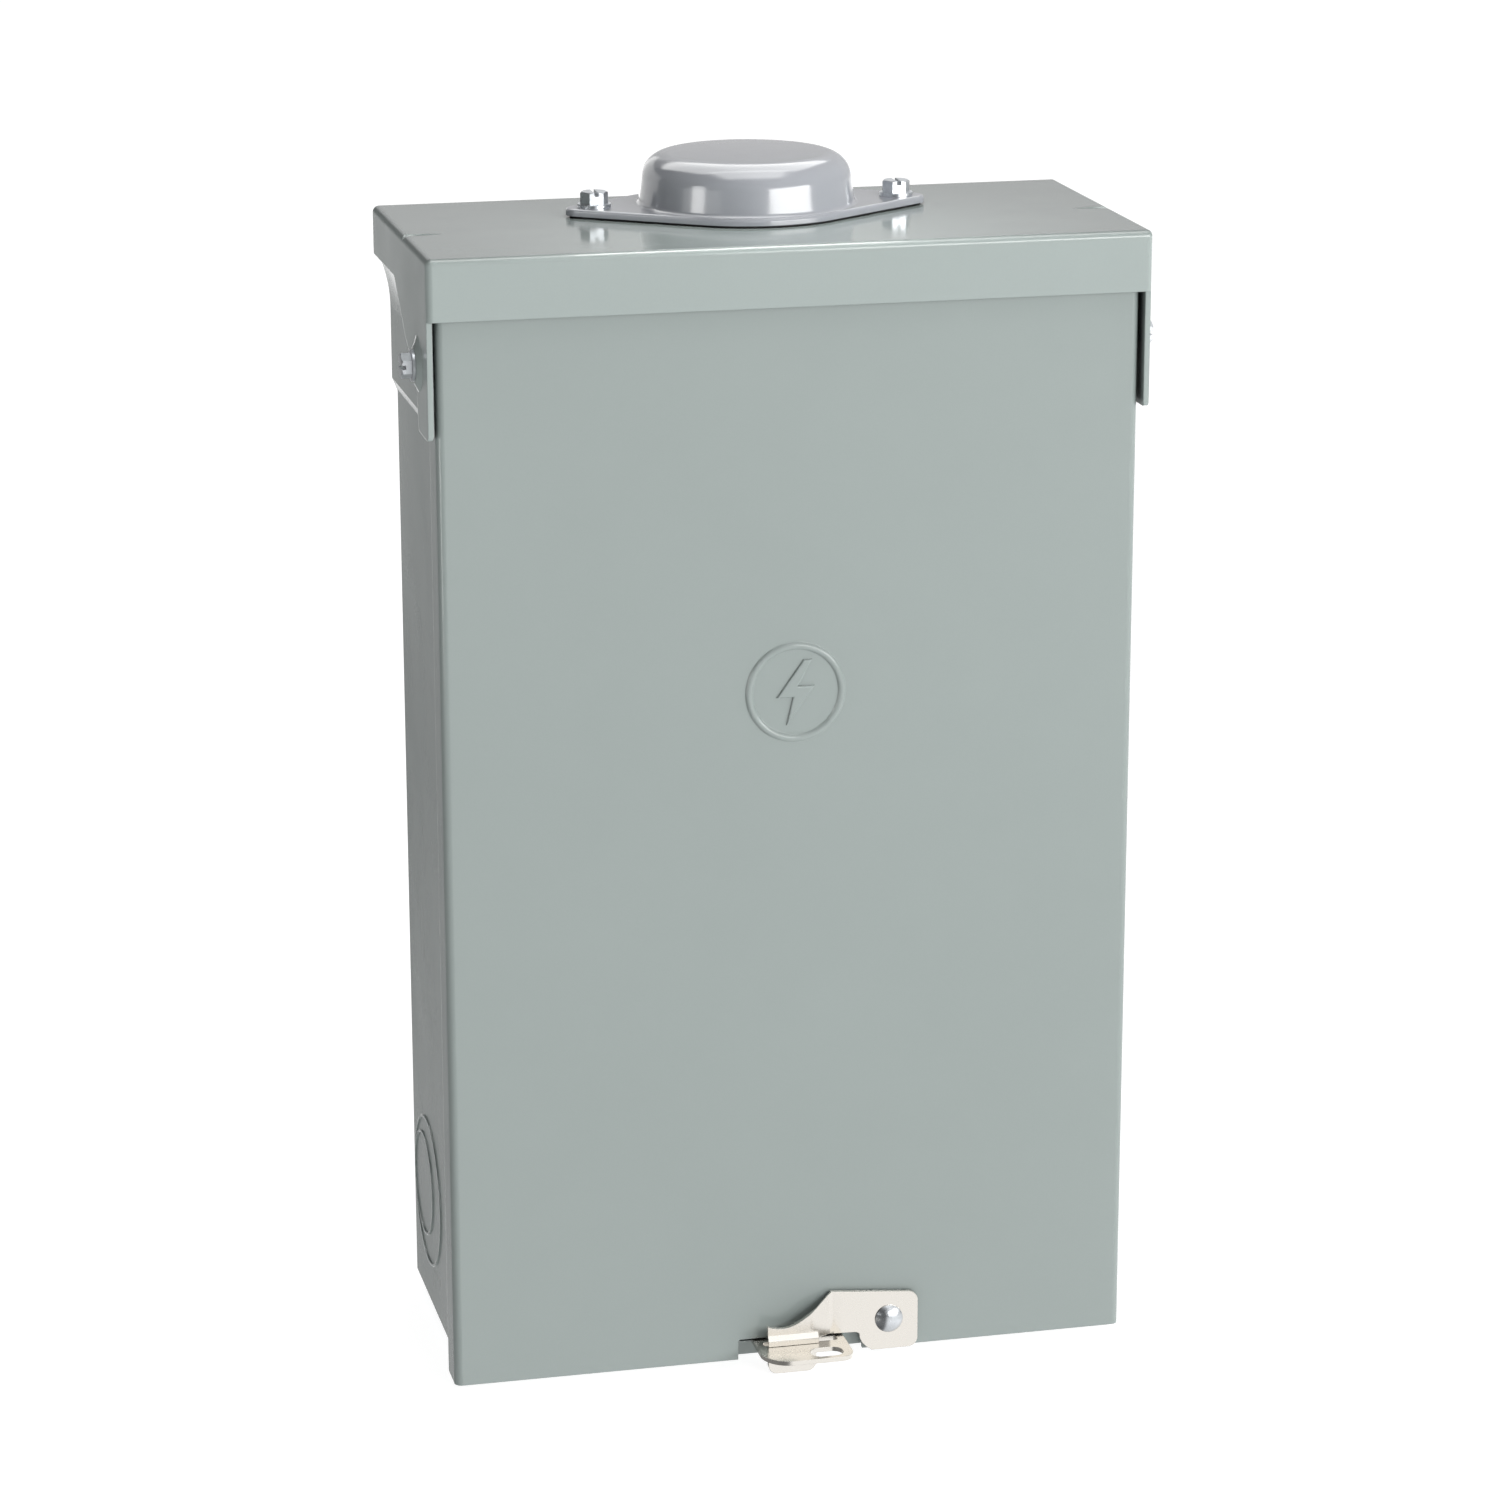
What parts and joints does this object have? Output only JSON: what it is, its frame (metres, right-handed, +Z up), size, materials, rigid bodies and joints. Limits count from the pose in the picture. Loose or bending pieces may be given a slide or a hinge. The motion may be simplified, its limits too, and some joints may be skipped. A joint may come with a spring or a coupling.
{
  "type": "residential load center",
  "caption": "Rainproof surface-mounted load center: steel case with lift-up cover, swing padlock latch, blank hub plate, bus interior and branch breakers.",
  "frame": {"origin": "centre of the four wall-mounting holes, on the wall plane (back face)", "axes": "+X to the right seen from the front, +Y into the wall (the front faces -Y), +Z up"},
  "size_m": [0.2432, 0.1218, 0.3947],
  "materials": {
    "powder_coat": "grey-green polyester powder coat, fine orange peel, semi-gloss",
    "hub_coat": "cool grey glossy enamel on the cast hub plate",
    "zinc_plate": "bright zinc plated fasteners",
    "nickel_plate": "satin nickel plated steel latch parts",
    "galvanised": "galvanised sheet with faint spangle",
    "tinned_bus": "tin plated aluminium bus",
    "lug_alloy": "plain machined aluminium lug",
    "bus_plastic": "black glass filled thermoset",
    "insulator": "off-white nylon",
    "breaker_plastic": "black moulded breaker case, fine texture",
    "handle_plastic": "black moulded toggle",
    "copper_jaw": "copper alloy clip",
    "green_screw": "green chromated steel bonding screw",
    "gasket_rubber": "black neoprene gasket",
    "card": "uncoated white card with ruled lines"
  },
  "bodies": {
    "enclosure": {"case_wrapper": "powder_coat", "bottom_endwall": "powder_coat", "top_cap": "powder_coat", "hub_closing_plate": "hub_coat", "hub_gasket": "gasket_rubber", "hub_screws": "zinc_plate", "cover_pivot_screws": "zinc_plate", "cover_pivot_spacers": "zinc_plate", "cover_pivot_nuts": "zinc_plate", "fixed_hasp": "nickel_plate", "interior_pan": "galvanised", "interior_screws": "zinc_plate", "bus_support_base": "bus_plastic", "bus_bar_a": "tinned_bus", "bus_bar_b": "tinned_bus", "main_lug_a": "lug_alloy", "main_lug_b": "lug_alloy", "main_lug_setscrews": "lug_alloy", "neutral_bar_left": "lug_alloy", "neutral_bar_right": "lug_alloy", "neutral_insulators": "insulator", "neutral_strap": "tinned_bus", "neutral_lug": "lug_alloy", "neutral_lug_setscrew": "lug_alloy", "neutral_bar_screws": "zinc_plate", "ground_bar": "lug_alloy", "ground_bar_screws": "zinc_plate", "ground_bar_mounting_screws": "zinc_plate", "bonding_screw": "green_screw", "deadfront": "powder_coat", "deadfront_rails": "galvanised", "deadfront_screws": "zinc_plate", "breaker_case_two_pole": "breaker_plastic", "breaker_case_right_lower": "breaker_plastic", "breaker_case_left_upper": "breaker_plastic", "breaker_case_left_middle": "breaker_plastic", "breaker_case_left_lower": "breaker_plastic", "breaker_line_jaws": "copper_jaw", "breaker_load_terminals": "lug_alloy", "breaker_load_screws": "zinc_plate"},
    "latch_arm": {"latch": "nickel_plate"},
    "cover_panel": {"cover": "powder_coat", "latch_washer": "zinc_plate", "latch_rivet": "zinc_plate", "directory_card": "card"},
    "handle_two_pole": {"breaker_handle_two_pole": "handle_plastic"},
    "handle_right_lower": {"breaker_handle_right_lower": "handle_plastic"},
    "handle_left_upper": {"breaker_handle_left_upper": "handle_plastic"},
    "handle_left_middle": {"breaker_handle_left_middle": "handle_plastic"},
    "handle_left_lower": {"breaker_handle_left_lower": "handle_plastic"}
  },
  "joints": [
    {"name": "cover_hinge", "type": "hinge", "parent": "enclosure", "child": "cover_panel", "pos_m": [0, -0.0862, 0.15], "axis": [-1, 0, 0], "range_deg": [0, 90]},
    {"name": "latch_pivot", "type": "hinge", "parent": "cover_panel", "child": "latch_arm", "pos_m": [0.0324, -0.103, -0.1753], "axis": [0, 1, 0], "range_deg": [0, 100]},
    {"name": "handle_two_pole", "type": "hinge", "parent": "enclosure", "child": "handle_two_pole", "pos_m": [0.042, -0.074, 0.0381], "axis": [0, 0, 1], "range_deg": [0, 40]},
    {"name": "handle_right_lower", "type": "hinge", "parent": "enclosure", "child": "handle_right_lower", "pos_m": [0.042, -0.074, 0], "axis": [0, 0, 1], "range_deg": [0, 40]},
    {"name": "handle_left_upper", "type": "hinge", "parent": "enclosure", "child": "handle_left_upper", "pos_m": [-0.042, -0.074, 0.0508], "axis": [0, 0, -1], "range_deg": [0, 40]},
    {"name": "handle_left_middle", "type": "hinge", "parent": "enclosure", "child": "handle_left_middle", "pos_m": [-0.042, -0.074, 0.0254], "axis": [0, 0, -1], "range_deg": [0, 40]},
    {"name": "handle_left_lower", "type": "hinge", "parent": "enclosure", "child": "handle_left_lower", "pos_m": [-0.042, -0.074, 0], "axis": [0, 0, -1], "range_deg": [0, 40]}
  ]
}
